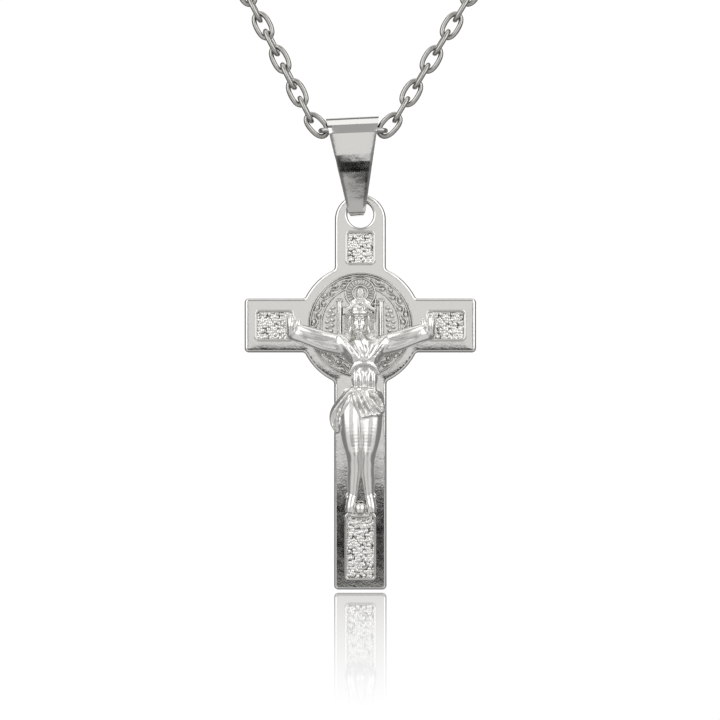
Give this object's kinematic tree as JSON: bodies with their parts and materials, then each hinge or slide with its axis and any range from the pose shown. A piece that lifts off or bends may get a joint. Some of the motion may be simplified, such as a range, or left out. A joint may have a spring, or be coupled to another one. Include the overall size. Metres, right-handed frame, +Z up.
{
  "type": "crucifix pendant on a cable chain",
  "caption": "Silver crucifix pendant with a round medal behind the figure, a folded tapered bail and the lower part of a steel cable chain with its clasp.",
  "frame": {"origin": "middle of the line between the two chain ends, where the necklace is held up", "axes": "+Z up along the hanging pendant, +X to the right as one faces the figure, the figure faces -Y"},
  "size_m": [0.0304, 0.0048, 0.0619],
  "materials": {
    "silver": "polished rhodium-plated silver",
    "chain_steel": "satin round wire"
  },
  "bodies": {
    "chain_ends": {"clasp_body": "chain_steel", "clasp_pin": "chain_steel", "end_ring": "chain_steel"},
    "clasp_lever": {"clasp_lever": "chain_steel"},
    "jump_ring_left": {"jump_ring_left": "chain_steel"},
    "link_left_1": {"link_left_1": "chain_steel"},
    "link_left_2": {"link_left_2": "chain_steel"},
    "link_left_3": {"link_left_3": "chain_steel"},
    "link_left_4": {"link_left_4": "chain_steel"},
    "link_left_5": {"link_left_5": "chain_steel"},
    "link_left_6": {"link_left_6": "chain_steel"},
    "link_left_7": {"link_left_7": "chain_steel"},
    "link_left_8": {"link_left_8": "chain_steel"},
    "link_left_9": {"link_left_9": "chain_steel"},
    "jump_ring_right": {"jump_ring_right": "chain_steel"},
    "link_right_1": {"link_right_1": "chain_steel"},
    "link_right_2": {"link_right_2": "chain_steel"},
    "link_right_3": {"link_right_3": "chain_steel"},
    "link_right_4": {"link_right_4": "chain_steel"},
    "link_right_5": {"link_right_5": "chain_steel"},
    "link_right_6": {"link_right_6": "chain_steel"},
    "link_right_7": {"link_right_7": "chain_steel"},
    "link_right_8": {"link_right_8": "chain_steel"},
    "link_right_9": {"link_right_9": "chain_steel"},
    "link_middle_1": {"link_middle_1": "chain_steel"},
    "link_middle_2": {"link_middle_2": "chain_steel"},
    "link_middle_3": {"link_middle_3": "chain_steel"},
    "bail": {"bail": "silver"},
    "cross": {"cross_plate": "silver", "medal": "silver", "back_medal": "silver", "corpus": "silver", "foot_rest": "silver"}
  },
  "joints": [
    {"name": "jump_ring_left_swing", "type": "hinge", "parent": "chain_ends", "child": "jump_ring_left", "pos_m": [-0.01114, 0, -0.00021], "axis": [1, 0, 0], "range_deg": [-12, 12]},
    {"name": "link_left_1_swing", "type": "hinge", "parent": "jump_ring_left", "child": "link_left_1", "pos_m": [-0.01026, 0, -0.00152], "axis": [1, 0, 0], "range_deg": [-12, 12]},
    {"name": "link_left_2_swing", "type": "hinge", "parent": "link_left_1", "child": "link_left_2", "pos_m": [-0.00952, 0, -0.00339], "axis": [1, 0, 0], "range_deg": [-12, 12]},
    {"name": "link_left_3_swing", "type": "hinge", "parent": "link_left_2", "child": "link_left_3", "pos_m": [-0.00878, 0, -0.00442], "axis": [1, 0, 0], "range_deg": [-12, 12]},
    {"name": "link_left_4_swing", "type": "hinge", "parent": "link_left_3", "child": "link_left_4", "pos_m": [-0.00804, 0, -0.00629], "axis": [1, 0, 0], "range_deg": [-12, 12]},
    {"name": "link_left_5_swing", "type": "hinge", "parent": "link_left_4", "child": "link_left_5", "pos_m": [-0.00731, 0, -0.00732], "axis": [1, 0, 0], "range_deg": [-12, 12]},
    {"name": "link_left_6_swing", "type": "hinge", "parent": "link_left_5", "child": "link_left_6", "pos_m": [-0.00657, 0, -0.00919], "axis": [1, 0, 0], "range_deg": [-12, 12]},
    {"name": "link_left_7_swing", "type": "hinge", "parent": "link_left_6", "child": "link_left_7", "pos_m": [-0.00583, 0, -0.01022], "axis": [1, 0, 0], "range_deg": [-12, 12]},
    {"name": "link_left_8_swing", "type": "hinge", "parent": "link_left_7", "child": "link_left_8", "pos_m": [-0.00509, 0, -0.01209], "axis": [1, 0, 0], "range_deg": [-12, 12]},
    {"name": "link_left_9_swing", "type": "hinge", "parent": "link_left_8", "child": "link_left_9", "pos_m": [-0.00435, 0, -0.01312], "axis": [1, 0, 0], "range_deg": [-12, 12]},
    {"name": "jump_ring_right_swing", "type": "hinge", "parent": "chain_ends", "child": "jump_ring_right", "pos_m": [0.01111, 0, -0.00021], "axis": [1, 0, 0], "range_deg": [-12, 12]},
    {"name": "link_right_1_swing", "type": "hinge", "parent": "jump_ring_right", "child": "link_right_1", "pos_m": [0.01007, 0, -0.00152], "axis": [1, 0, 0], "range_deg": [-12, 12]},
    {"name": "link_right_2_swing", "type": "hinge", "parent": "link_right_1", "child": "link_right_2", "pos_m": [0.0092, 0, -0.00339], "axis": [1, 0, 0], "range_deg": [-12, 12]},
    {"name": "link_right_3_swing", "type": "hinge", "parent": "link_right_2", "child": "link_right_3", "pos_m": [0.00833, 0, -0.00442], "axis": [1, 0, 0], "range_deg": [-12, 12]},
    {"name": "link_right_4_swing", "type": "hinge", "parent": "link_right_3", "child": "link_right_4", "pos_m": [0.00746, 0, -0.00629], "axis": [1, 0, 0], "range_deg": [-12, 12]},
    {"name": "link_right_5_swing", "type": "hinge", "parent": "link_right_4", "child": "link_right_5", "pos_m": [0.00658, 0, -0.00732], "axis": [1, 0, 0], "range_deg": [-12, 12]},
    {"name": "link_right_6_swing", "type": "hinge", "parent": "link_right_5", "child": "link_right_6", "pos_m": [0.00571, 0, -0.00919], "axis": [1, 0, 0], "range_deg": [-12, 12]},
    {"name": "link_right_7_swing", "type": "hinge", "parent": "link_right_6", "child": "link_right_7", "pos_m": [0.00484, 0, -0.01022], "axis": [1, 0, 0], "range_deg": [-12, 12]},
    {"name": "link_right_8_swing", "type": "hinge", "parent": "link_right_7", "child": "link_right_8", "pos_m": [0.00397, 0, -0.01209], "axis": [1, 0, 0], "range_deg": [-12, 12]},
    {"name": "link_right_9_swing", "type": "hinge", "parent": "link_right_8", "child": "link_right_9", "pos_m": [0.0031, 0, -0.01312], "axis": [1, 0, 0], "range_deg": [-12, 12]},
    {"name": "link_middle_1_turn", "type": "hinge", "parent": "link_left_9", "child": "link_middle_1", "pos_m": [-0.00314, 0, -0.01443], "axis": [1, 0, 0], "range_deg": [-12, 12]},
    {"name": "link_middle_2_turn", "type": "hinge", "parent": "link_middle_1", "child": "link_middle_2", "pos_m": [-0.00146, 0, -0.01443], "axis": [1, 0, 0], "range_deg": [-8, 8]},
    {"name": "link_middle_3_turn", "type": "hinge", "parent": "link_middle_2", "child": "link_middle_3", "pos_m": [0.0002, 0, -0.01443], "axis": [1, 0, 0], "range_deg": [-8, 8]},
    {"name": "bail_swing", "type": "hinge", "parent": "link_middle_2", "child": "bail", "pos_m": [-0.00146, 0, -0.01384], "axis": [1, 0, 0], "range_deg": [-12, 12]},
    {"name": "cross_swing", "type": "hinge", "parent": "bail", "child": "cross", "pos_m": [0, 0, -0.02098], "axis": [1, 0, 0], "range_deg": [-15, 15]},
    {"name": "clasp_lever_open", "type": "hinge", "parent": "chain_ends", "child": "clasp_lever", "pos_m": [-0.01165, 0, 0.00386], "axis": [0, -1, 0], "range_deg": [0, 30], "stiffness_Nm_per_rad": 0.002, "springref_deg": -20.05}
  ],
  "couplings": [
    {"joint": "jump_ring_right_swing", "follows": "jump_ring_left_swing", "ratio": 1},
    {"joint": "link_right_1_swing", "follows": "link_left_1_swing", "ratio": 1},
    {"joint": "link_right_2_swing", "follows": "link_left_2_swing", "ratio": 1},
    {"joint": "link_right_3_swing", "follows": "link_left_3_swing", "ratio": 1},
    {"joint": "link_right_4_swing", "follows": "link_left_4_swing", "ratio": 1},
    {"joint": "link_right_5_swing", "follows": "link_left_5_swing", "ratio": 1},
    {"joint": "link_right_6_swing", "follows": "link_left_6_swing", "ratio": 1},
    {"joint": "link_right_7_swing", "follows": "link_left_7_swing", "ratio": 1},
    {"joint": "link_right_8_swing", "follows": "link_left_8_swing", "ratio": 1},
    {"joint": "link_right_9_swing", "follows": "link_left_9_swing", "ratio": 1},
    {"joint": "link_middle_3_turn", "follows": "link_middle_2_turn", "ratio": -1}
  ]
}
